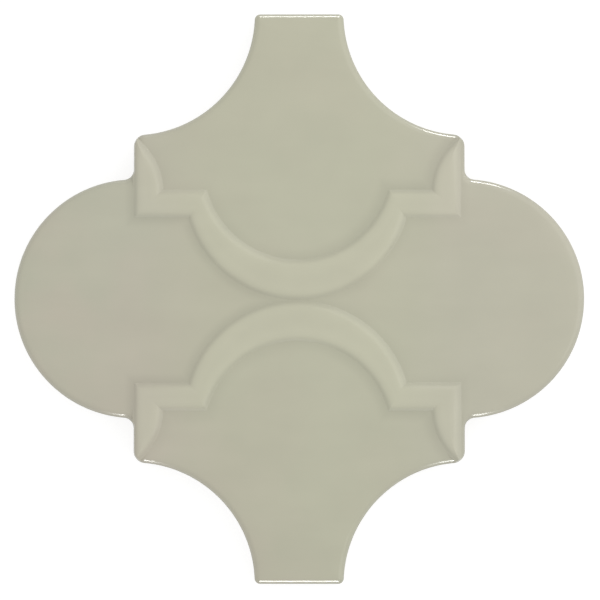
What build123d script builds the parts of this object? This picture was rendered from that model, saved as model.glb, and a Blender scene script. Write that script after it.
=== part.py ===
"""Lantern-shaped glazed wall tile with two raised strapwork bands: one fired piece.

Frame: millimetres, +Z out of the glazed face, +Y towards the upper arm, origin at the middle
of the back, where the tile rests. The tile is alike left and right, and above and below.
"""
from build123d import *
import math
import os

os.makedirs("parts", exist_ok=True)

# Outline
tile_size = 120.0           # arm tip to arm tip, and lobe to lobe
arm_tip_width = 18.7
joint_allowance = 0.35      # a hollow's radius over that of the lobe that nests in it
tip_corner_radius = 1.15    # plan corners of the arm tips
shoulder_radius = 2.5       # outward plan corners of the shoulders
lobe_root_radius = 2.2      # inward plan corners where a lobe leaves its shoulder

# Thickness
field_thickness = 8.0       # back to the flat glazed field
band_height = 0.75          # bands above the field
top_edge_radius = 1.0       # rounded edge all round the glazed face
back_edge_chamfer = 0.5

# Raised bands, measured on the middle of their slopes
bow_gap = 1.9               # between the two bows at the middle of the tile
bow_width = 7.1             # at the middle of the tile
shelf_width = 4.85          # level stretch between bow and horn
shelf_lobe_side = 12.35     # length of the level stretch, the side that faces the lobe
shelf_arm_side = 9.2        # length of the level stretch, the side that faces the arm
horn_width = 6.25           # at its root, from the shoulder's wall
horn_height = 11.7          # from the level stretch to the shoulder's corner
horn_tip_setback = 0.53     # how far short of that corner the horn's curved side ends
wall_setback = 0.1          # the bands' ends, in from the shoulders' walls
band_draft = 57.0           # lean of the band's sides from upright, degrees
band_crest_radius = 0.8     # outward rounding along the top of the slopes
band_foot_radius = 0.4      # hollow rounding along the foot of the slopes
rounding_steps = 3          # flats that make up each rounding of a slope

# Keyed back
groove_width = 4.0
groove_pitch = 8.0
groove_depth = 0.9
groove_margin = 6.0         # plain border between the grooves and the outline

half_size = tile_size / 2
arm_half_width = arm_tip_width / 2
lobe_radius = (half_size - arm_half_width - joint_allowance) / 2
hollow_radius = lobe_radius + joint_allowance
lobe_centre = half_size - lobe_radius
shoulder_height = half_size - hollow_radius

shelf_top = shoulder_height - horn_height
shelf_bottom = shelf_top - shelf_width
bow_outer_low = bow_gap / 2
bow_inner_low = bow_outer_low + bow_width
bow_outer_end = lobe_centre - shelf_lobe_side
horn_root = lobe_centre - horn_width
bow_inner_end = horn_root - shelf_arm_side
horn_rise = horn_height - horn_tip_setback
horn_radius = (horn_width**2 + horn_rise**2) / (2 * horn_width)
horn_centre = horn_root + horn_radius

crest_level = field_thickness + band_height
slope_half_run = band_height / 2 * math.tan(math.radians(band_draft))
search_tolerance = 0.05


def mirror_places(x, y):
    """A place in the outline and its images left, right, above and below."""
    return [(side * x, end * y) for side in (1, -1) for end in (1, -1)]


def round_plan_corners(face, x, y, radius):
    """Rounds the outline's corners at a place and at its mirror images."""
    places = mirror_places(x, y)
    corners = [
        v for v in face.vertices()
        if any(math.dist((v.X, v.Y), place) < search_tolerance for place in places)
    ]
    return fillet(corners, radius)


def shoulders_outline(setback=0.0):
    """Arms and shoulders without the lobes: a block with four round hollows cut out of it.

    A setback draws its walls in.
    """
    block = Rectangle(2 * (lobe_centre - setback), tile_size)
    places = mirror_places(lobe_centre, half_size)
    hollows = [Pos(x, y) * Circle(hollow_radius + setback) for x, y in places]
    corner_y = half_size - half_chord(hollow_radius + setback, setback)
    return round_plan_corners(block - hollows, lobe_centre - setback, corner_y, shoulder_radius - setback)


def tile_outline():
    """The whole outline: shoulders and arms, with a lobe on either side."""
    lobes = [Pos(side * lobe_centre, 0) * Circle(lobe_radius) for side in (1, -1)]
    outline = shoulders_outline() + lobes
    outline = round_plan_corners(outline, arm_half_width, half_size, tip_corner_radius)
    return round_plan_corners(outline, lobe_centre, lobe_radius, lobe_root_radius)


def level_edges(solid, height):
    """Edges of a solid that lie wholly at one height."""
    return [e for e in solid.edges() if all(abs((e @ t).Z - height) < search_tolerance for t in (0, 0.5, 1))]


def rounded_slab(outline, height):
    """An outline raised from the back to a height, with a rounded upper edge."""
    slab = extrude(outline, amount=height)
    return fillet(level_edges(slab, height), top_edge_radius)


def bow_circle(low, end_x, end_y):
    """Centre height and radius of an arc about x = 0, from its lowest point and one end."""
    rise = end_y - low
    radius = (end_x**2 + rise**2) / (2 * rise)
    return low + radius, radius


def half_chord(radius, distance):
    """Half of the chord that a circle makes at a distance from its centre."""
    return math.sqrt(radius**2 - distance**2)


def band_outline(inset):
    """Upper band's outline, drawn in by an inset from the middle of its slopes.

    Each horn runs on past the shoulder here. The shoulder's wall cuts it off later.
    """
    low = shelf_bottom + inset
    high = shelf_top - inset
    outer_centre, outer_radius = bow_circle(bow_outer_low, bow_outer_end, shelf_bottom)
    inner_centre, inner_radius = bow_circle(bow_inner_low, bow_inner_end, shelf_top)
    outer_radius -= inset
    inner_radius += inset
    outer_end = half_chord(outer_radius, low - outer_centre)
    inner_end = half_chord(inner_radius, high - inner_centre)

    horn_side = horn_radius - inset
    past_shoulder = (lobe_centre + horn_centre) / 2
    horn_end = shelf_top + half_chord(horn_side, horn_centre - past_shoulder)
    horn_start = horn_centre - half_chord(horn_side, high - shelf_top)
    horn_middle = Vector(-1, 1).normalized() * horn_side

    with BuildSketch() as sketch:
        with BuildLine():
            ThreePointArc((-outer_end, low), (0, outer_centre - outer_radius), (outer_end, low))
            ThreePointArc((-inner_end, high), (0, inner_centre - inner_radius), (inner_end, high))
            for side in (1, -1):
                Polyline(
                    (side * outer_end, low),
                    (side * past_shoulder, low),
                    (side * past_shoulder, horn_end),
                )
                Line((side * inner_end, high), (side * horn_start, high))
                ThreePointArc(
                    (side * horn_start, high),
                    (side * (horn_centre + horn_middle.X), shelf_top + horn_middle.Y),
                    (side * past_shoulder, horn_end),
                )
        make_face()
    return sketch.sketch.face()


def slope_profile():
    """Cross-section of a band's side, from field to crest, as pairs of inset and level.

    A hollow rounding leads into the leaning side, and an outward rounding leads out of it.
    """
    steepness = 90 - band_draft
    foot_start = -slope_half_run - band_foot_radius * math.tan(math.radians(steepness / 2))
    crest_end = slope_half_run + band_crest_radius * math.tan(math.radians(steepness / 2))
    angles = [math.radians(steepness * step / rounding_steps) for step in range(rounding_steps + 1)]
    foot = [
        (foot_start + band_foot_radius * math.sin(a), field_thickness + band_foot_radius * (1 - math.cos(a)))
        for a in angles
    ]
    crest = [
        (crest_end - band_crest_radius * math.sin(a), crest_level - band_crest_radius * (1 - math.cos(a)))
        for a in reversed(angles)
    ]
    return foot + crest


def raised_band():
    """Upper band with leaning sides, rooted in the body and cut off flush with the shoulders."""
    sections = [Pos(0, 0, level) * band_outline(inset) for inset, level in slope_profile()]
    band = loft(sections, ruled=True)
    band += extrude(sections[0], amount=-field_thickness / 2)
    return band & rounded_slab(shoulders_outline(wall_setback), crest_level)


def back_grooves():
    """Straight grooves in the back, about a middle rib, ending short of the outline."""
    keyed = offset(tile_outline(), amount=-groove_margin)
    count = int(half_size / groove_pitch)
    rows = [side * (i + 0.5) * groove_pitch for i in range(count) for side in (1, -1)]
    strips = Sketch() + [Pos(0, y) * Rectangle(tile_size, groove_width) for y in rows]
    return extrude(keyed & strips, amount=groove_depth)


def make_tile():
    """The whole fired piece."""
    band = raised_band()
    tile = rounded_slab(tile_outline(), field_thickness) + [band, mirror(band, Plane.XZ)]
    tile = tile - back_grooves()
    back = tile.faces().sort_by(Axis.Z)[0]
    return chamfer(back.outer_wire().edges(), back_edge_chamfer)


tile = make_tile()
tile.label = "tile"
export_step(tile, "parts/tile.step")
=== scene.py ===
"""Lantern-shaped glazed wall tile with two raised strapwork bands: one fired piece, lying face up."""
import logging
import math
from collections.abc import Callable, Iterable
from dataclasses import dataclass
from enum import Enum

import bpy
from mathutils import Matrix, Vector


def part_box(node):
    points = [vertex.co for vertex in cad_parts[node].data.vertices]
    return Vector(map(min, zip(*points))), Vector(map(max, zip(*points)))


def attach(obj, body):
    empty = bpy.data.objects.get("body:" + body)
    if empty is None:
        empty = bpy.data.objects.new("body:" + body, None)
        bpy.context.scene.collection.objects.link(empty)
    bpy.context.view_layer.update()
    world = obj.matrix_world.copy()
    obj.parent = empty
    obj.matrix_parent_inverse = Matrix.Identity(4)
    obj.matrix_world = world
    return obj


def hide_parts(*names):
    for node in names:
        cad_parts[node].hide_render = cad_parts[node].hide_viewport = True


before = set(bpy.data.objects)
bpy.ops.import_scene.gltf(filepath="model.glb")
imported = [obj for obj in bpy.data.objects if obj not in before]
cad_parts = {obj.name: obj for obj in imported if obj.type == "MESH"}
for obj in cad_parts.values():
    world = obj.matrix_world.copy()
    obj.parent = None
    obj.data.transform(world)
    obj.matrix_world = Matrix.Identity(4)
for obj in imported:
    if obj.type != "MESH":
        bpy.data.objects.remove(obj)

MM = 0.001
WELD = 0.002 * MM
log = logging.getLogger("tile")


class Side(Enum):
    """Which of the two mirrored bands: above or below the middle of the tile."""

    UPPER = 1
    LOWER = -1


class Cut(Enum):
    """How one solid acts on another."""

    JOIN = "UNION"
    TAKE_AWAY = "DIFFERENCE"
    KEEP_COMMON = "INTERSECT"


@dataclass(frozen=True)
class Line:
    """A straight stroke of an outline, to a point in millimetres."""

    x: float
    y: float


@dataclass(frozen=True)
class Arc:
    """A round stroke about a centre in millimetres, anticlockwise where degrees are positive."""

    x: float
    y: float
    degrees: float
    facets: int


Stroke = Line | Arc


@dataclass(frozen=True)
class Contour:
    """One closed line round a solid: the strokes of its unmirrored part, and its level."""

    start: Vector
    strokes: list[Stroke]
    level: float


def deselect_all() -> None:
    """Leaves nothing selected, in object mode."""
    if bpy.context.object and bpy.context.object.mode != "OBJECT":
        bpy.ops.object.mode_set(mode="OBJECT")
    bpy.ops.object.select_all(action="DESELECT")


def take_up(piece: bpy.types.Object) -> None:
    """Makes a piece the only one selected, and active.

    Args:
        piece: the mesh object.
    """
    deselect_all()
    piece.select_set(True)
    bpy.context.view_layer.objects.active = piece


def apply_modifier(piece: bpy.types.Object, kind: str, **settings: object) -> None:
    """Adds a modifier to a piece, sets it and applies it.

    Args:
        piece: the mesh object.
        kind: Blender's name for the modifier type.
        settings: properties of the modifier, by name.
    """
    take_up(piece)
    bpy.ops.object.modifier_add(type=kind)
    modifier = piece.modifiers[-1]
    for name, value in settings.items():
        setattr(modifier, name, value)
    bpy.ops.object.modifier_apply(modifier=modifier.name)


def combine(piece: bpy.types.Object, tool: bpy.types.Object, cut: Cut) -> None:
    """Joins a tool solid to a piece, or cuts the piece with it, and removes the tool.

    Args:
        piece: the solid that stays.
        tool: the solid that is used up.
        cut: how the tool acts.
    """
    apply_modifier(piece, "BOOLEAN", operation=cut.value, solver="EXACT", object=tool)
    bpy.data.objects.remove(tool)


class Draughtsman:
    """Draws contours stroke by stroke and bridges them into solids."""

    level_slack: float = 0.0005

    def trace(self, contour: Contour) -> bpy.types.Object:
        """Draws the unmirrored part of a contour.

        Args:
            contour: the strokes, in millimetres.

        Returns:
            The drawn line.
        """
        x, y = contour.start
        deselect_all()
        bpy.ops.mesh.primitive_plane_add(size=MM)
        piece = bpy.context.object
        bpy.ops.object.mode_set(mode="EDIT")
        bpy.ops.mesh.select_mode(type="VERT")
        bpy.ops.mesh.select_all(action="SELECT")
        bpy.ops.mesh.merge(type="CENTER")
        bpy.ops.transform.translate(value=(x * MM, y * MM, contour.level * MM))
        for stroke in contour.strokes:
            if isinstance(stroke, Line):
                step = ((stroke.x - x) * MM, (stroke.y - y) * MM, 0)
                bpy.ops.mesh.extrude_region_move(TRANSFORM_OT_translate={"value": step})
                x, y = stroke.x, stroke.y
                continue
            arm = Vector((x - stroke.x, y - stroke.y))
            turn = math.radians(stroke.degrees)
            bpy.ops.mesh.spin(
                steps=stroke.facets,
                angle=-turn,
                center=(stroke.x * MM, stroke.y * MM, 0),
                axis=(0, 0, 1),
            )
            x = stroke.x + arm.x * math.cos(turn) - arm.y * math.sin(turn)
            y = stroke.y + arm.x * math.sin(turn) + arm.y * math.cos(turn)
        bpy.ops.object.mode_set(mode="OBJECT")
        return piece

    def select_levels(self, piece: bpy.types.Object, levels: Iterable[float]) -> None:
        """Selects the corners of a piece that lie on given levels, and leaves it in edit mode.

        Args:
            piece: the mesh object.
            levels: heights, in millimetres.
        """
        take_up(piece)
        bpy.ops.object.mode_set(mode="EDIT")
        bpy.ops.mesh.select_mode(type="VERT")
        bpy.ops.mesh.select_all(action="DESELECT")
        bpy.ops.object.mode_set(mode="OBJECT")
        for corner in piece.data.vertices:
            height = corner.co.z / MM
            corner.select = any(abs(height - level) < self.level_slack for level in levels)
        bpy.ops.object.mode_set(mode="EDIT")

    def build(
        self, name: str, contours: list[Contour], mirror_x: bool, mirror_y: bool
    ) -> bpy.types.Object:
        """Mirrors contours, bridges each to the next and closes the two ends.

        Args:
            name: the new object's name.
            contours: from the lowest to the highest, each with the same number of corners.
            mirror_x: whether they go on left of the middle.
            mirror_y: whether they go on below the middle.

        Returns:
            The closed solid.
        """
        lines = [self.trace(contour) for contour in contours]
        take_up(lines[0])
        for line in lines:
            line.select_set(True)
        bpy.ops.object.join()
        piece = bpy.context.object
        piece.name = name
        piece.data.name = name
        apply_modifier(
            piece,
            "MIRROR",
            use_axis=(mirror_x, mirror_y, False),
            use_mirror_merge=True,
            merge_threshold=WELD,
        )
        levels = [contour.level for contour in contours]
        for pair in zip(levels, levels[1:]):
            self.select_levels(piece, pair)
            bpy.ops.mesh.bridge_edge_loops(type="SINGLE")
            bpy.ops.object.mode_set(mode="OBJECT")
        for level in (levels[0], levels[-1]):
            self.select_levels(piece, [level])
            bpy.ops.mesh.edge_face_add()
            bpy.ops.object.mode_set(mode="OBJECT")
        bpy.ops.object.mode_set(mode="EDIT")
        bpy.ops.mesh.select_all(action="SELECT")
        bpy.ops.mesh.remove_doubles(threshold=WELD)
        bpy.ops.mesh.normals_make_consistent(inside=False)
        bpy.ops.object.mode_set(mode="OBJECT")
        return piece


Section = list[tuple[float, float]]


def rounding(radius: float, from_lean: float, to_lean: float, steps: int) -> Section:
    """Steps along a round edge.

    Args:
        radius: of the rounding, in millimetres.
        from_lean: slope at its start in degrees, 90 where it is upright and 0 where it is level.
        to_lean: slope at its end.
        steps: how many flats make it up.

    Returns:
        Pairs of steps inwards and upwards.
    """
    leans = [math.radians(from_lean + (to_lean - from_lean) * i / steps) for i in range(steps + 1)]
    pairs = list(zip(leans, leans[1:]))
    return [
        (abs(math.sin(b) - math.sin(a)) * radius, abs(math.cos(b) - math.cos(a)) * radius)
        for a, b in pairs
    ]


def climb(
    draw: Callable[[float, float], Contour], margin: float, level: float, section: Section
) -> list[Contour]:
    """Draws a contour at the foot of a cross-section and one after each of its steps.

    Args:
        draw: gives the contour for a margin and a level.
        margin: how far inside the outline the cross-section starts, in millimetres.
        level: height that it starts at.
        section: its steps inwards and upwards.

    Returns:
        The contours, from the lowest to the highest.
    """
    contours = [draw(margin, level)]
    for inwards, upwards in section:
        margin += inwards
        level += upwards
        contours.append(draw(margin, level))
    return contours


@dataclass
class TileSizes:
    """Sizes of the outline and thickness in millimetres, with what follows from them."""

    size: float
    crest_level: float
    field_level: float = 8.0
    arm_tip_width: float = 18.7
    joint_allowance: float = 0.35
    tip_corner_radius: float = 1.15
    shoulder_radius: float = 2.5
    lobe_root_radius: float = 2.2

    @classmethod
    def from_frame(cls, node: str) -> "TileSizes":
        """Takes the overall size and height from the CAD node's box."""
        low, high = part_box(node)
        return cls(size=(high[1] - low[1]) / MM, crest_level=high[2] / MM)

    @property
    def half_size(self) -> float:
        """Middle of the tile to an arm's tip or a lobe's end."""
        return self.size / 2

    @property
    def band_height(self) -> float:
        """Bands above the flat field."""
        return self.crest_level - self.field_level

    @property
    def lobe_radius(self) -> float:
        """Round ends, left and right."""
        return (self.half_size - self.arm_tip_width / 2 - self.joint_allowance) / 2

    @property
    def hollow_radius(self) -> float:
        """Round hollows between an arm and a shoulder."""
        return self.lobe_radius + self.joint_allowance

    @property
    def lobe_centre(self) -> float:
        """Middle of the tile to a lobe's centre and to the shoulders' walls."""
        return self.half_size - self.lobe_radius

    @property
    def tip_corner_centre(self) -> Vector:
        """Centre of the rounded corner of an arm's tip.

        Returns:
            The point, in millimetres.
        """
        reach = self.hollow_radius + self.tip_corner_radius
        across = math.sqrt(reach**2 - self.tip_corner_radius**2)
        return Vector((self.lobe_centre - across, self.half_size - self.tip_corner_radius))

    @property
    def shoulder_centre(self) -> Vector:
        """Centre of a shoulder's rounded corner.

        Returns:
            The point, in millimetres.
        """
        reach = self.hollow_radius + self.shoulder_radius
        drop = math.sqrt(reach**2 - self.shoulder_radius**2)
        return Vector((self.lobe_centre - self.shoulder_radius, self.half_size - drop))

    @property
    def root_centre(self) -> Vector:
        """Centre of the rounded inner corner where a lobe leaves its shoulder.

        Returns:
            The point, in millimetres.
        """
        reach = self.lobe_radius + self.lobe_root_radius
        rise = math.sqrt(reach**2 - self.lobe_root_radius**2)
        return Vector((self.lobe_centre + self.lobe_root_radius, rise))


def bearing(start: Vector, end: Vector) -> float:
    """Direction from one point to another, in degrees."""
    return math.degrees(math.atan2(end.y - start.y, end.x - start.x))


@dataclass
class PressedBody:
    """The tile without its bands: outline, field, rounded edge and bevelled back."""

    sizes: TileSizes
    pen: Draughtsman
    edge_radius: float = 1.5
    edge_steps: int = 16
    cushion_width: float = 2.4
    cushion_lean: float = 6.0
    cushion_steps: int = 6
    back_bevel: float = 0.5
    corner_facets: int = 10
    sweep_facets: int = 70

    def corner(self, centre: Vector, degrees: float, sharp: bool) -> Arc:
        """Stroke round a corner, which stands still where the corner has become sharp."""
        return Arc(centre.x, centre.y, 0 if sharp else degrees, self.corner_facets)

    def quarter(self, margin: float, level: float) -> Contour:
        """Upper right quarter of the outline, from above the middle to the right.

        Args:
            margin: how far inside the tile's own outline, in millimetres.
            level: its height.

        Returns:
            The quarter contour.
        """
        sizes = self.sizes
        hollow, lobe = Vector((sizes.lobe_centre, sizes.half_size)), Vector((sizes.lobe_centre, 0))
        tip, shoulder, root = sizes.tip_corner_centre, sizes.shoulder_centre, sizes.root_centre
        leave, arrive = bearing(tip, hollow), bearing(hollow, shoulder) % 360
        tip_turn, shoulder_turn = leave - 90, 180 - arrive
        reach = sizes.hollow_radius + margin
        straight = math.sqrt(reach**2 - margin**2)
        tip_sharp, shoulder_sharp = margin > sizes.tip_corner_radius, margin > sizes.shoulder_radius
        if tip_sharp:
            leave = math.degrees(math.asin(margin / reach))
            tip = Vector((hollow.x - straight, sizes.half_size - margin))
        if shoulder_sharp:
            arrive = 270 - math.degrees(math.asin(margin / reach))
            shoulder = Vector((sizes.lobe_centre - margin, sizes.half_size - straight))
        meet = bearing(lobe, root)
        return Contour(
            Vector((0, sizes.half_size - margin)),
            [
                Line(tip.x, sizes.half_size - margin),
                self.corner(tip, tip_turn, tip_sharp),
                Arc(hollow.x, hollow.y, arrive - leave - 180, self.sweep_facets),
                self.corner(shoulder, shoulder_turn, shoulder_sharp),
                Line(sizes.lobe_centre - margin, root.y),
                Arc(root.x, root.y, meet, self.corner_facets),
                Arc(lobe.x, lobe.y, -meet, self.sweep_facets),
            ],
            level,
        )

    def make(self, name: str) -> bpy.types.Object:
        """Builds the body.

        Args:
            name: the new object's name.

        Returns:
            The solid body.
        """
        cushion_radius = self.cushion_width / math.sin(math.radians(self.cushion_lean))
        section = rounding(self.edge_radius, 90, self.cushion_lean, self.edge_steps)
        section += rounding(cushion_radius, self.cushion_lean, 0, self.cushion_steps)
        level = self.sizes.field_level - sum(upwards for _, upwards in section)
        contours = [self.quarter(self.back_bevel, 0), self.quarter(0, self.back_bevel)]
        contours += climb(self.quarter, 0.0, level, section)
        return self.pen.build(name, contours, mirror_x=True, mirror_y=True)


@dataclass
class KeyedBack:
    """Straight grooves in the back, which hold the mortar."""

    body: PressedBody
    width: float = 4.0
    pitch: float = 8.0
    depth: float = 0.9
    margin: float = 6.0

    def cut(self, piece: bpy.types.Object) -> None:
        """Cuts the grooves into a piece.

        Args:
            piece: the solid body.
        """
        sizes = self.body.sizes
        rows = int(sizes.half_size / self.pitch)
        deselect_all()
        bpy.ops.mesh.primitive_cube_add(size=1)
        grooves = bpy.context.object
        bpy.ops.object.mode_set(mode="EDIT")
        bpy.ops.transform.resize(value=(sizes.size * MM, self.width * MM, 2 * self.depth * MM))
        bpy.ops.transform.translate(value=(0, (0.5 - rows) * self.pitch * MM, 0))
        bpy.ops.object.mode_set(mode="OBJECT")
        apply_modifier(
            grooves,
            "ARRAY",
            count=2 * rows,
            use_relative_offset=False,
            use_constant_offset=True,
            constant_offset_displace=(0, self.pitch * MM, 0),
        )
        ends = [self.body.quarter(self.margin, level) for level in (-2 * self.depth, 2 * self.depth)]
        keyed = self.body.pen.build("keyed_area", ends, mirror_x=True, mirror_y=True)
        combine(grooves, keyed, Cut.KEEP_COMMON)
        combine(piece, grooves, Cut.TAKE_AWAY)


@dataclass
class StrapBand:
    """One raised band: a bow, a level stretch on each side and horns that rise to the shoulders.

    Its places are on the middle of its slopes, for the upper right quarter. Sizes are in
    millimetres.
    """

    body: PressedBody
    bow_gap: float = 1.5  # between the two bows at the middle of the tile
    bow_width: float = 7.22  # at the same place
    shelf_width: float = 4.72  # level stretch between bow and horn
    shelf_lobe_side: float = 12.36  # its length on the side that faces the lobe
    shelf_arm_side: float = 9.28
    horn_width: float = 6.0  # from its root to the shoulder's wall
    horn_wall_inset: float = 1.08
    horn_height: float = 11.82
    horn_tip_setback: float = 0.53  # of the horn's curved side from the shoulder's corner
    draft: float = 57.0  # lean of the sides from upright, degrees
    foot_radius: float = 0.9
    crest_radius: float = 3.78
    crown_width: float = 0.5  # where the crest runs out into the flat top
    crown_lean: float = 3.0
    crown_steps: int = 3
    off_centre: tuple[float, float] = (-0.36, -0.36)  # how far the press set the bands off
    wall_setback: float = 0.1
    shoulder_edge_radius: float = 1.4
    lobe_reach: float = 2.0  # how far the corner of the level stretch may lie on the lobe
    reach_start: float = 26.6  # heights between which the shoulder's wall gives way to it
    reach_end: float = 22.8
    foot_bury: float = 0.02  # depth of the foot's start below the field
    root_depth: float = 3.0
    round_steps: int = 9
    bow_facets: int = 90
    horn_facets: int = 44
    shoulder_cut: float = 15.0  # from an arm's tip to where the bands can't reach

    @property
    def shelf_top(self) -> float:
        """Level stretch, the side that faces the arm."""
        sizes = self.body.sizes
        return sizes.half_size - sizes.hollow_radius - self.horn_height

    @property
    def shelf_bottom(self) -> float:
        """Level stretch, the side that faces the lobe."""
        return self.shelf_top - self.shelf_width

    @property
    def horn_root(self) -> float:
        """Inner corner where a horn rises from the level stretch."""
        return self.body.sizes.lobe_centre - self.horn_width

    @property
    def horn_radius(self) -> float:
        """Curved inner side of a horn."""
        rise = self.horn_height - self.horn_tip_setback
        return (self.horn_width**2 + rise**2) / (2 * self.horn_width)

    @property
    def horn_outer_side(self) -> float:
        """Straight outer side of a horn."""
        return self.body.sizes.lobe_centre - self.horn_wall_inset

    @property
    def outer_bow(self) -> tuple[float, float]:
        """Centre height and radius of the bow's side that faces the middle."""
        end = self.body.sizes.lobe_centre - self.shelf_lobe_side
        return self.bow_circle(self.bow_gap / 2, end, self.shelf_bottom)

    @property
    def inner_bow(self) -> tuple[float, float]:
        """Centre height and radius of the bow's side that faces the arm."""
        end = self.horn_root - self.shelf_arm_side
        return self.bow_circle(self.bow_gap / 2 + self.bow_width, end, self.shelf_top)

    @staticmethod
    def bow_circle(low: float, end_x: float, end_y: float) -> tuple[float, float]:
        """Circle about x = 0 from its lowest point and one end.

        Args:
            low: height of its lowest point.
            end_x: the end's place.
            end_y: as end_x.

        Returns:
            Centre height and radius.
        """
        rise = end_y - low
        radius = (end_x**2 + rise**2) / (2 * rise)
        return low + radius, radius

    def cross_section(self) -> Section:
        """Works out a band's side from below the field to its crowned top.

        Returns:
            Its steps inwards and upwards.
        """
        steep = 90 - self.draft
        crown_radius = self.crown_width / math.sin(math.radians(self.crown_lean))
        foot = rounding(self.foot_radius, 0, steep, self.round_steps)
        crest = rounding(self.crest_radius, steep, self.crown_lean, self.round_steps)
        crown = rounding(crown_radius, self.crown_lean, 0, self.crown_steps)
        rise = sum(up for _, up in foot + crest + crown)
        straight = self.body.sizes.band_height + self.foot_bury - rise
        side = [(straight * math.tan(math.radians(self.draft)), straight)]
        return foot + side + crest + crown

    def foot_inset(self) -> float:
        """Works out how far outside the middle of the slope the cross-section starts.

        Returns:
            The distance, in millimetres.
        """
        section = self.cross_section()
        middle = (self.body.sizes.band_height + self.foot_bury) / 2
        across = height = 0.0
        for inwards, upwards in section:
            if height + upwards >= middle:
                return across + inwards * (middle - height) / upwards
            across += inwards
            height += upwards
        return across

    def half(self, margin: float, level: float) -> Contour:
        """Right half of the upper band's outline, from under the middle round to above it.

        Args:
            margin: how far inside the middle of the slopes, in millimetres.
            level: its height.

        Returns:
            The half contour.
        """
        low, high = self.shelf_bottom + margin, self.shelf_top - margin
        outer_y, outer_radius = self.outer_bow
        inner_y, inner_radius = self.inner_bow
        outer_radius -= margin
        inner_radius += margin
        horn_centre = self.horn_root + self.horn_radius
        horn_side = self.horn_radius - margin
        side = self.horn_outer_side - margin
        horn_end = math.degrees(math.acos((side - horn_centre) / horn_side))
        horn_start = 180 + math.degrees(math.asin(margin / horn_side))
        outer_end = math.degrees(math.asin((low - outer_y) / outer_radius)) + 90
        inner_end = math.degrees(math.asin((high - inner_y) / inner_radius)) + 90
        return Contour(
            Vector((0, outer_y - outer_radius)),
            [
                Arc(0, outer_y, outer_end, self.bow_facets),
                Line(side, low),
                Line(side, self.shelf_top + horn_side * math.sin(math.radians(horn_end))),
                Arc(horn_centre, self.shelf_top, horn_start - horn_end, self.horn_facets),
                Line(inner_radius * math.sin(math.radians(inner_end)), high),
                Arc(0, inner_y, -inner_end, self.bow_facets),
            ],
            level,
        )

    def shoulder_quarter(self, margin: float, level: float) -> Contour:
        """Quarter of the area between the shoulders' walls, cut off below the arms' tips.

        Args:
            margin: how far inside the tile's own outline, in millimetres.
            level: its height.

        Returns:
            The quarter contour.
        """
        sizes = self.body.sizes
        shoulder = sizes.shoulder_centre
        hollow = Vector((sizes.lobe_centre, sizes.half_size))
        reach = sizes.hollow_radius + margin
        top = sizes.half_size - self.shoulder_cut
        start = 180 + math.degrees(math.asin(self.shoulder_cut / reach))
        arrive = bearing(hollow, shoulder) % 360
        return Contour(
            Vector((0, top)),
            [
                Line(hollow.x + reach * math.cos(math.radians(start)), top),
                Arc(hollow.x, hollow.y, arrive - start, self.body.sweep_facets),
                Arc(shoulder.x, shoulder.y, 180 - arrive, self.body.corner_facets),
                Line(sizes.lobe_centre - margin, self.reach_start),
                Line(sizes.lobe_centre + self.lobe_reach, self.reach_end),
                Line(sizes.lobe_centre + self.lobe_reach, 0),
            ],
            level,
        )

    def make(self, side: Side) -> bpy.types.Object:
        """Builds one band and cuts its horns off at the shoulders' walls.

        Args:
            side: which of the two bands.

        Returns:
            The solid band, rooted below the field.
        """
        field_level = self.body.sizes.field_level
        foot = -self.foot_inset()
        contours = [self.half(foot, field_level - self.root_depth)]
        contours += climb(self.half, foot, field_level - self.foot_bury, self.cross_section())
        band = self.body.pen.build("band", contours, mirror_x=True, mirror_y=False)
        self.shift(band, move=(self.off_centre[0], side.value * self.off_centre[1]))
        combine(band, self.make_shoulders(), Cut.KEEP_COMMON)
        if side is Side.LOWER:
            self.shift(band, flip=side.value)
        return band

    def make_shoulders(self) -> bpy.types.Object:
        """Builds the solid whose walls and rounded edge the horns end at.

        Returns:
            The solid between the shoulders' walls.
        """
        sizes, margin = self.body.sizes, self.wall_setback
        underside = sizes.field_level - 2 * self.root_depth
        level = sizes.crest_level + self.foot_bury - self.shoulder_edge_radius
        section = rounding(self.shoulder_edge_radius, 90, 0, 2 * self.round_steps)
        contours = [self.shoulder_quarter(margin, underside)]
        contours += climb(self.shoulder_quarter, margin, level, section)
        return self.body.pen.build("shoulders", contours, mirror_x=True, mirror_y=True)

    @staticmethod
    def shift(band: bpy.types.Object, move: tuple[float, float] = (0, 0), flip: int = 1) -> None:
        """Moves a band in plan, or turns it over to the other side of the middle.

        Args:
            band: the solid band.
            move: to the right and upwards, in millimetres.
            flip: -1 to mirror it to below the middle.
        """
        take_up(band)
        bpy.ops.object.mode_set(mode="EDIT")
        bpy.ops.mesh.select_all(action="SELECT")
        bpy.ops.transform.translate(value=(move[0] * MM, move[1] * MM, 0))
        bpy.ops.transform.resize(value=(1, flip, 1), center_override=(0, 0, 0))
        bpy.ops.mesh.normals_make_consistent(inside=False)
        bpy.ops.object.mode_set(mode="OBJECT")


@dataclass
class FiredTile:
    """The whole tile: body, bands and keyed back as one closed solid."""

    body: PressedBody
    bands: StrapBand
    smooth_angle: float = 32.0

    def make(self, name: str) -> bpy.types.Object:
        """Builds the tile.

        Args:
            name: the new object's name.

        Returns:
            The finished piece.
        """
        piece = self.body.make(name)
        KeyedBack(self.body).cut(piece)
        for side in Side:
            combine(piece, self.bands.make(side), Cut.JOIN)
        take_up(piece)
        bpy.ops.object.mode_set(mode="EDIT")
        bpy.ops.mesh.select_all(action="SELECT")
        bpy.ops.mesh.remove_doubles(threshold=WELD)
        bpy.ops.mesh.dissolve_degenerate(threshold=WELD)
        bpy.ops.object.mode_set(mode="OBJECT")
        bpy.ops.object.shade_smooth_by_angle(angle=math.radians(self.smooth_angle))
        apply_modifier(piece, "WEIGHTED_NORMAL", keep_sharp=True, weight=100)
        return piece


Value = "Wire | float"


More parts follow.
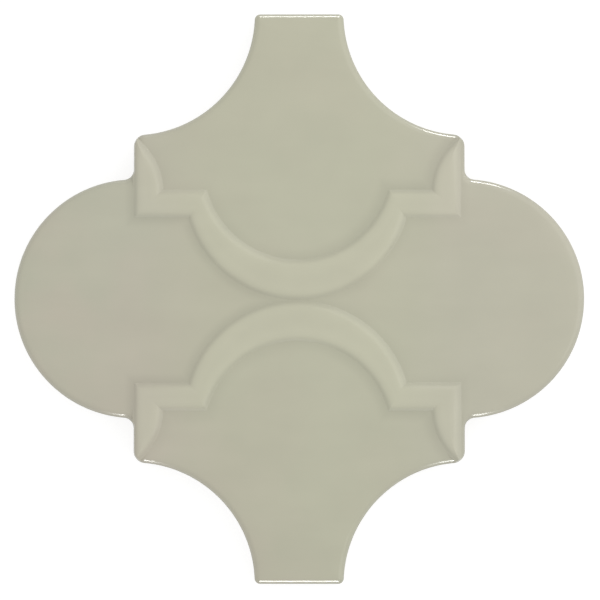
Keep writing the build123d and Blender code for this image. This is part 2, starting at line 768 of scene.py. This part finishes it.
class Wire:
    """A shader value with arithmetic, where each operation adds a Math node."""

    def __init__(self, graph: "Graph", socket: bpy.types.NodeSocket) -> None:
        """Wraps an output socket of a graph."""
        self.graph = graph
        self.socket = socket

    def __add__(self, other: Value) -> "Wire":
        """Sum."""
        return self.graph.math("ADD", self, other)

    def __radd__(self, other: Value) -> "Wire":
        """Sum, reflected."""
        return self.graph.math("ADD", other, self)

    def __sub__(self, other: Value) -> "Wire":
        """Difference."""
        return self.graph.math("SUBTRACT", self, other)

    def __rsub__(self, other: Value) -> "Wire":
        """Difference, reflected."""
        return self.graph.math("SUBTRACT", other, self)

    def __mul__(self, other: Value) -> "Wire":
        """Product."""
        return self.graph.math("MULTIPLY", self, other)

    def __rmul__(self, other: Value) -> "Wire":
        """Product, reflected."""
        return self.graph.math("MULTIPLY", other, self)

    def __neg__(self) -> "Wire":
        """Opposite."""
        return self.graph.math("MULTIPLY", self, -1)

    def __abs__(self) -> "Wire":
        """Size without its sign."""
        return self.graph.math("ABSOLUTE", self)

    def least(self, other: Value) -> "Wire":
        """The smaller of two."""
        return self.graph.math("MINIMUM", self, other)

    def most(self, other: Value) -> "Wire":
        """The larger of two."""
        return self.graph.math("MAXIMUM", self, other)


class Graph:
    """The shader nodes of a material or of the world."""

    def __init__(
        self, owner: bpy.types.Material | bpy.types.World, shader: str = "Principled BSDF"
    ) -> None:
        """Starts the nodes.

        Args:
            owner: the new material or world.
            shader: name of the shader that it starts with.
        """
        owner.use_nodes = True
        self.owner = owner
        self.nodes = owner.node_tree.nodes
        self.links = owner.node_tree.links
        self.shader = self.nodes[shader]

    def feed(self, socket: bpy.types.NodeSocket, value: object) -> None:
        """Sets an input socket, or links something to it.

        Args:
            socket: the input.
            value: a wire or an output socket to link, or a plain value.
        """
        if isinstance(value, Wire):
            value = value.socket
        if isinstance(value, bpy.types.NodeSocket):
            self.links.new(value, socket)
        else:
            socket.default_value = value

    def node(self, kind: str, settings: dict[str, object], **inputs: object) -> bpy.types.Node:
        """Adds a node.

        Args:
            kind: the node's type.
            settings: its own properties, set first.
            inputs: values or links by the socket's name, or by its place after an underscore.

        Returns:
            The new node.
        """
        node = self.nodes.new(kind)
        for name, setting in settings.items():
            setattr(node, name, setting)
        for name, value in inputs.items():
            key = int(name[1:]) if name[0] == "_" else name.replace("_", " ")
            self.feed(node.inputs[key], value)
        return node

    def math(self, operation: str, *terms: Value) -> Wire:
        """Adds a Math node."""
        inputs = {f"_{place}": term for place, term in enumerate(terms)}
        return Wire(self, self.node("ShaderNodeMath", {"operation": operation}, **inputs).outputs[0])

    def ramp(self, value: Wire, low: float, high: float) -> Wire:
        """Rises smoothly from 0 to 1 between two levels of a value.

        Args:
            value: what is followed.
            low: level up to which the result is 0.
            high: level from which it is 1. It may be the lower one of the two.

        Returns:
            The share between 0 and 1.
        """
        settings = {"interpolation_type": "SMOOTHSTEP", "clamp": True}
        node = self.node("ShaderNodeMapRange", settings, Value=value, From_Min=low, From_Max=high)
        return Wire(self, node.outputs["Result"])

    def distance(self, x: Wire, y: Wire, centre: tuple[float, float]) -> Wire:
        """Distance in plan from a point."""
        across, along = x - centre[0], y - centre[1]
        return self.math("SQRT", across * across + along * along)

    def noise(self, place: object, scale: float, detail: float = 2.0) -> Wire:
        """Soft cloudy noise about 0, from -0.5 to 0.5."""
        node = self.node("ShaderNodeTexNoise", {}, Vector=place, Scale=scale, Detail=detail)
        return Wire(self, node.outputs["Fac"]) - 0.5

    def stretch(self, place: object, *factors: float) -> bpy.types.NodeSocket:
        """Multiplies a place, direction by direction: larger factors make a pattern finer."""
        node = self.node("ShaderNodeVectorMath", {"operation": "MULTIPLY"}, _0=place, _1=factors)
        return node.outputs[0]

    def blend(self, share: Value, first: object, second: object) -> bpy.types.NodeSocket:
        """Mixes two colours by a share of the second."""
        node = self.node("ShaderNodeMix", {"data_type": "RGBA"}, _0=share, _6=first, _7=second)
        return node.outputs[2]

    def brighten(self, colour: object, factor: Value) -> bpy.types.NodeSocket:
        """Multiplies a colour by a factor.

        Args:
            colour: a socket, or a colour from paint.
            factor: the same for red, green and blue.

        Returns:
            The new colour.
        """
        colour = colour[:3] if isinstance(colour, tuple) else colour
        node = self.node("ShaderNodeVectorMath", {"operation": "SCALE"}, _0=colour, Scale=factor)
        return node.outputs[0]

    def seen(self) -> Wire:
        """Tells light that the lens looks at from light that falls on things.

        Returns:
            1 for what is seen straight on, mirrored or through glass, and otherwise 0.
        """
        rays = self.node("ShaderNodeLightPath", {}).outputs
        kinds = ("Is Camera Ray", "Is Glossy Ray", "Is Transmission Ray")
        straight, mirrored, through_glass = (Wire(self, rays[kind]) for kind in kinds)
        return straight.most(mirrored).most(through_glass)


Tone = tuple[int, int, int]
Span = tuple[float, float]


def paint(tone: Tone) -> tuple[float, float, float, float]:
    """Turns everyday colour values of 0 to 255 into a socket's colour.

    Args:
        tone: red, green and blue.

    Returns:
        The linear colour, and 1 for its alpha.
    """
    shares = [value / 255 for value in tone]
    linear = [c / 12.92 if c < 0.04045 else ((c + 0.055) / 1.055) ** 2.4 for c in shares]
    return (*linear, 1.0)


@dataclass(frozen=True)
class Spot:
    """The point of the tile that is shaded, in the tile's own frame."""

    place: bpy.types.NodeSocket
    right: Wire
    up: Wire
    height: Wire

    @classmethod
    def read(cls, graph: Graph) -> "Spot":
        """Reads the point.

        Args:
            graph: the material's nodes.

        Returns:
            Its place in metres, and its three coordinates in millimetres.
        """
        place = graph.node("ShaderNodeTexCoord", {}).outputs["Object"]
        scaled = graph.stretch(place, 1 / MM, 1 / MM, 1 / MM)
        parts = graph.node("ShaderNodeSeparateXYZ", {}, _0=scaled)
        right, up, height = (Wire(graph, socket) for socket in parts.outputs)
        return cls(place, right, up, height)


@dataclass(frozen=True)
class BandDepths:
    """How far a point lies inside the middle of a band's slopes in plan, negative on the field."""

    lobe_side: Wire
    arm_side: Wire

    @classmethod
    def measure(cls, graph: Graph, spot: Spot, band: StrapBand) -> "BandDepths":
        """Measures a point against the side that faces the lobes and the side that faces the arm.

        Args:
            graph: the material's nodes.
            spot: the point.
            band: the band's sizes.

        Returns:
            Both depths, in millimetres.
        """
        x, y = abs(spot.right - band.off_centre[0]), abs(spot.up - band.off_centre[1])
        outer_y, outer_radius = band.outer_bow
        inner_y, inner_radius = band.inner_bow
        horn = (band.horn_root + band.horn_radius, band.shelf_top)
        above = (y - band.shelf_bottom).most(outer_radius - graph.distance(x, y, (0, outer_y)))
        beside_horn = graph.distance(x, y, horn) - band.horn_radius
        beyond = (y - band.shelf_top).least(beside_horn)
        beyond = beyond.most(inner_radius - graph.distance(x, y, (0, inner_y)))
        return cls(above.least(band.horn_outer_side - x), -beyond)

    @property
    def least(self) -> Wire:
        """Depth behind the nearer side."""
        return self.lobe_side.least(self.arm_side)


@dataclass(frozen=True)
class PooledGlazeAndShade:
    """Darker glaze along the foot of the slopes, with lengths in millimetres: partly thick glaze
    pooled there, partly painted shade on the feet and on the field beside them.

    The painted shade is stronger along the sides that face left, away from the light at the right.
    """

    shade: float = 0.07
    deepest: float = -0.6
    slope_side: float = 1.05
    lobe_side: float = 2.4
    arm_side: float = 3.0
    evenness: float = 0.9
    painted_side_shade: float = 0.42
    painted_side_span: Span = (-20.0, 20.0)
    crown_span: Span = (-0.5, 0.5)

    def darkening(self, graph: Graph, depths: BandDepths, right: Wire) -> Wire:
        """Share of the light that the pooled glaze and the painted shade take away.

        Args:
            graph: the material's nodes.
            depths: of the shaded point.
            right: its place to the right of the middle.

        Returns:
            The share.
        """
        # partly real pooled glaze, partly painted shade at the feet and on the field beside them
        on_slope = graph.ramp(depths.least, self.deepest + self.slope_side, self.deepest)
        beside_lobe_side = graph.ramp(depths.lobe_side, self.deepest - self.lobe_side, self.deepest)
        beside_arm_side = graph.ramp(depths.arm_side, self.deepest - self.arm_side, self.deepest)
        # painted shade: feet of sides facing left, away from the light at the right, darker than
        # those facing it
        faces_arm = 1 - 2 * graph.ramp(depths.arm_side - depths.lobe_side, *self.crown_span)
        painted_side_shade = 2 * graph.ramp(right, *self.painted_side_span) - 1
        pool_and_shade_weight = self.evenness + self.painted_side_shade * painted_side_shade * faces_arm
        return self.shade * (on_slope * beside_lobe_side * beside_arm_side * pool_and_shade_weight)


@dataclass(frozen=True)
class GlazeTint:
    """Colour of the glaze: sage, dustier at the lobes, with rosy and leafy clouds, most on the left.

    Lengths are in millimetres, and the clouds' scale is in repeats a metre.
    """

    sage: Tone = (187, 186, 163)
    dusty: Tone = (187, 184, 165)
    rosy: Tone = (189, 181, 164)
    leafy: Tone = (184, 187, 164)
    dusty_span: Span = (16.0, 38.0)
    dusty_raggedness: float = 8.0
    cloud_scale: float = 45.0
    cloud_softness: float = 0.16
    cloud_share: float = 0.35
    least_clouds: float = 0.35
    cloudy_span: Span = (-10.0, -60.0)
    clouds_off_crest: float = 0.5
    rosy_span: Span = (-25.0, -60.0)
    rosy_upwards: float = 0.7
    rosy_share: float = 0.4
    rosy_patches: float = 1.2
    rosy_off_crest: float = 0.7

    def colour(self, graph: Graph, spot: Spot, mist: Wire, crest: Wire) -> bpy.types.NodeSocket:
        """Builds the colour.

        Args:
            graph: the material's nodes.
            spot: the shaded point.
            mist: soft noise that breaks up what would be even.
            crest: 1 on the bands' tops and 0 on the field.

        Returns:
            The colour, before it is lightened or darkened.
        """
        rosy, leafy = paint(self.rosy), paint(self.leafy)
        clouds = graph.noise(spot.place, self.cloud_scale)
        tint = graph.blend(graph.ramp(clouds, -self.cloud_softness, self.cloud_softness), rosy, leafy)
        outwards = graph.ramp(abs(spot.right) + self.dusty_raggedness * mist, *self.dusty_span)
        ground = graph.blend(outwards, paint(self.sage), paint(self.dusty))
        cloudy = self.cloud_share * (self.least_clouds + graph.ramp(spot.right, *self.cloudy_span))
        colour = graph.blend(cloudy * (1 - self.clouds_off_crest * crest), ground, tint)
        warm = graph.ramp(spot.right + self.rosy_upwards * spot.up, *self.rosy_span)
        warm = warm * (1 - self.rosy_off_crest * crest)
        return graph.blend((self.rosy_share + self.rosy_patches * mist) * warm, colour, rosy)


@dataclass(frozen=True)
class GlazeShade:
    """Lighter and darker places of the glaze, partly painted light and shade; lengths in millimetres,
    scales a metre.
    """

    pool_and_shade: PooledGlazeAndShade = PooledGlazeAndShade()
    crest_light: float = 0.09
    crown_loss: float = 0.2
    crown_span: Span = (1.0, 3.6)
    streak_shade: float = 0.078
    streak_scale: float = 160.0
    streak_length: float = 4.0
    painted_light_to_right: float = 0.0195
    painted_light_upwards: float = 0.024
    tip_shade: float = 0.015
    tip_span: Span = (-46.0, -59.0)

    def factor(
        self, graph: Graph, spot: Spot, depths: BandDepths, mist: Wire, crest: Wire, half: float
    ) -> Wire:
        """Builds the factor that the colour is multiplied by.

        Args:
            graph: the material's nodes.
            spot: the shaded point.
            depths: how far inside a band it lies.
            mist: soft noise that breaks up what would be even.
            crest: 1 on the bands' tops and 0 on the field.
            half: the tile's size from its middle to an arm's tip.

        Returns:
            The factor, about 1.
        """
        crown = graph.ramp(depths.least, *self.crown_span)
        light = 1 + self.crest_light * crest * (1 - self.crown_loss * crown)
        light = light - self.pool_and_shade.darkening(graph, depths, spot.right)
        drawn_out = graph.stretch(spot.place, 1 / self.streak_length, 1.0, 1.0)
        light = light + self.streak_shade * (graph.noise(drawn_out, self.streak_scale) + mist)
        # painted light: lighter towards the upper right, where the light comes from
        light = light + self.painted_light_to_right / half * spot.right + self.painted_light_upwards / half * spot.up
        return light - self.tip_shade * graph.ramp(spot.up, *self.tip_span)


@dataclass(frozen=True)
class BareBody:
    """Unglazed fired body on the back and low on the sides, with lengths in millimetres."""

    biscuit: Tone = (214, 204, 188)
    roughness: float = 0.85
    glaze_line: float = 1.6
    line_softness: float = 0.25
    line_raggedness: float = 1.6
    line_scale: float = 260.0
    grit_scale: float = 900.0
    grit_detail: float = 4.0
    grit_shade: float = 0.25
    grit_depth: float = 0.05

    def share(self, graph: Graph, spot: Spot) -> Wire:
        """1 below the ragged line that the glaze ends at, and 0 above it.

        Args:
            graph: the material's nodes.
            spot: the shaded point.

        Returns:
            The share of bare body.
        """
        ragged = spot.height + self.line_raggedness * graph.noise(spot.place, self.line_scale)
        low, high = self.glaze_line - self.line_softness, self.glaze_line + self.line_softness
        return 1 - graph.ramp(ragged, low, high)

    def grit(self, graph: Graph, spot: Spot) -> Wire:
        """Fine noise of the body's grain."""
        return graph.noise(spot.place, self.grit_scale, self.grit_detail)

    def colour(self, graph: Graph, grit: Wire) -> bpy.types.NodeSocket:
        """Colour of the body with its grain."""
        return graph.brighten(paint(self.biscuit), 1 + self.grit_shade * grit)


@dataclass(frozen=True)
class CeladonGlaze:
    """Glossy grey-green glaze over a pale body, with lengths in millimetres."""

    tint: GlazeTint = GlazeTint()
    shade: GlazeShade = GlazeShade()
    body: BareBody = BareBody()
    crest_span: Span = (-0.4, 0.8)
    mist_scale: float = 110.0
    roughness: float = 0.3
    coat_roughness: float = 0.17
    under_coat_gloss: float = 0.2
    gloss_line: float = 7.3
    coat_fade: float = 0.6
    satin_fade: float = 0.8
    satin_share: float = 0.6
    ripple_scale: float = 120.0
    ripple_depth: float = 0.02

    def make(self, name: str, band: StrapBand) -> bpy.types.Material:
        """Builds the material.

        Args:
            name: the new material's name.
            band: the bands whose feet hold the pooled glaze and the painted shade.

        Returns:
            The material.
        """
        graph = Graph(bpy.data.materials.new(name))
        spot = Spot.read(graph)
        depths = BandDepths.measure(graph, spot, band)
        crest = graph.ramp(depths.least, *self.crest_span)
        mist = graph.noise(spot.place, self.mist_scale)
        colour = self.tint.colour(graph, spot, mist, crest)
        light = self.shade.factor(graph, spot, depths, mist, crest, band.body.sizes.half_size)
        bare, grit = self.body.share(graph, spot), self.body.grit(graph, spot)
        colour = graph.blend(bare, graph.brighten(colour, light), self.body.colour(graph, grit))
        glossy = graph.ramp(spot.height, self.gloss_line - self.satin_fade, self.gloss_line)
        dry = bare.most(self.satin_share - self.satin_share * glossy)
        coat = graph.ramp(spot.height, self.gloss_line - self.coat_fade, self.gloss_line)
        ripples = self.ripple_depth * graph.noise(spot.place, self.ripple_scale, 1.0)
        relief = ripples + self.body.grit_depth * grit * bare
        bump = graph.node("ShaderNodeBump", {}, Strength=1.0, Distance=MM, Height=relief)
        finish = {
            "Base Color": colour,
            "Roughness": self.roughness + (self.body.roughness - self.roughness) * dry,
            "Coat Weight": coat,
            "Coat Roughness": self.coat_roughness,
            "Specular IOR Level": self.under_coat_gloss,
            "Normal": bump.outputs[0],
        }
        for socket, value in finish.items():
            graph.feed(graph.shader.inputs[socket], value)
        return graph.owner


@dataclass(frozen=True)
class Softbox:
    """A rectangular lamp that faces the tile, with its sizes in metres.

    Azimuth is counted from the upper arm towards the right lobe, and both angles are in degrees.
    """

    name: str
    off_axis: float
    azimuth: float
    width: float
    height: float
    brightness: float
    distance: float = 1.0

    def add(self, gloss_only: bool) -> None:
        """Puts the lamp in the scene. The lens doesn't see it.

        Args:
            gloss_only: whether it shows in the gloss without lighting the colours.
        """
        lean, turn = math.radians(self.off_axis), math.radians(self.azimuth)
        across = math.sin(lean)
        place = Vector((across * math.sin(turn), across * math.cos(turn), math.cos(lean)))
        place *= self.distance
        bpy.ops.object.light_add(type="AREA", location=place)
        lamp = bpy.context.object
        lamp.name = self.name
        lamp.rotation_euler = place.to_track_quat("Z", "Y").to_euler()
        lamp.data.shape = "RECTANGLE"
        lamp.data.size = self.width
        lamp.data.size_y = self.height
        lamp.data.energy = self.brightness * math.pi * self.width * self.height
        lamp.visible_camera = False
        lamp.visible_diffuse = not gloss_only


@dataclass(frozen=True)
class Studio:
    """Floor, lamps and camera, with lengths in metres and the lens's lean in degrees."""

    floor_size: float = 6.0
    floor_drop: float = 0.00005
    floor_colour: float = 0.32
    floor_roughness: float = 0.9
    floor_glow: float = 0.79
    world_level: float = 0.815
    lens_distance: float = 1.0
    view_width: float = 0.12615
    lens_lean: tuple[float, float] = (0.5, -1.6)
    view_centre: tuple[float, float] = (0.00019, -0.00034)
    sensor: float = 36.0
    far_limit: float = 10.0
    panel: Softbox = Softbox("right_panel", 60, 66, 0.8, 0.8, brightness=0.47, distance=0.5)
    upper_strip: Softbox = Softbox("upper_strip", 83, 9, 0.42, 0.26, brightness=16.5)
    lower_strip: Softbox = Softbox("lower_strip", 80, 179, 0.48, 0.34, brightness=14.0)

    def make_floor(self) -> None:
        """Adds the pale floor, a hair below the tile's back so that the two don't flicker."""
        deselect_all()
        bpy.ops.mesh.primitive_plane_add(size=self.floor_size, location=(0, 0, -self.floor_drop))
        floor = bpy.context.object
        floor.name = "floor"
        graph = Graph(bpy.data.materials.new("pale_floor"))
        shade = self.floor_colour
        graph.feed(graph.shader.inputs["Base Color"], (shade, shade, shade, 1.0))
        graph.feed(graph.shader.inputs["Roughness"], self.floor_roughness)
        graph.feed(graph.shader.inputs["Emission Color"], graph.seen() * self.floor_glow)
        graph.feed(graph.shader.inputs["Emission Strength"], 1.0)
        floor.data.materials.append(graph.owner)

    def make_world(self) -> None:
        """Lights the scene evenly from all around, and shows a white backdrop."""
        graph = Graph(bpy.data.worlds.new("studio"), shader="Background")
        strength = self.world_level + (1 - self.world_level) * graph.seen()
        graph.feed(graph.shader.inputs["Color"], (1.0, 1.0, 1.0, 1.0))
        graph.feed(graph.shader.inputs["Strength"], strength)
        bpy.context.scene.world = graph.owner

    def make_camera(self, level: float) -> None:
        """Adds the camera with a long lens, above the tile and a little to its lower right.

        Args:
            level: height of the plane that the view width is measured on, in metres.
        """
        across, along = (math.radians(lean) for lean in self.lens_lean)
        x, y = self.view_centre
        reach = self.lens_distance
        place = (x + reach * math.sin(across), y + reach * math.sin(along), level + reach)
        bpy.ops.object.camera_add(location=place, rotation=(-along, across, 0))
        camera = bpy.context.object
        camera.data.sensor_width = self.sensor
        camera.data.lens = self.sensor * self.lens_distance / self.view_width
        camera.data.clip_end = self.far_limit
        bpy.context.scene.camera = camera

    def build(self, level: float) -> None:
        """Builds the whole studio.

        Args:
            level: height of the glazed field, in metres.
        """
        self.make_floor()
        self.make_world()
        self.panel.add(gloss_only=False)
        for strip in (self.upper_strip, self.lower_strip):
            strip.add(gloss_only=True)
        self.make_camera(level)


def main() -> None:
    """Builds the tile and its studio, and reports each piece."""
    logging.basicConfig(level=logging.INFO, format="%(message)s")
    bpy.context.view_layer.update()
    bpy.context.scene.view_settings.view_transform = "Standard"
    sizes = TileSizes.from_frame("tile")
    body = PressedBody(sizes, Draughtsman())
    bands = StrapBand(body)
    tile = FiredTile(body, bands).make("glazed_tile")
    tile.data.materials.clear()
    tile.data.materials.append(CeladonGlaze().make("celadon_glaze", bands))
    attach(tile, "root")
    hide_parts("tile")
    log.info("glazed_tile: %d faces", len(tile.data.polygons))
    Studio().build(sizes.field_level * MM)


if __name__ == "__main__":
    main()
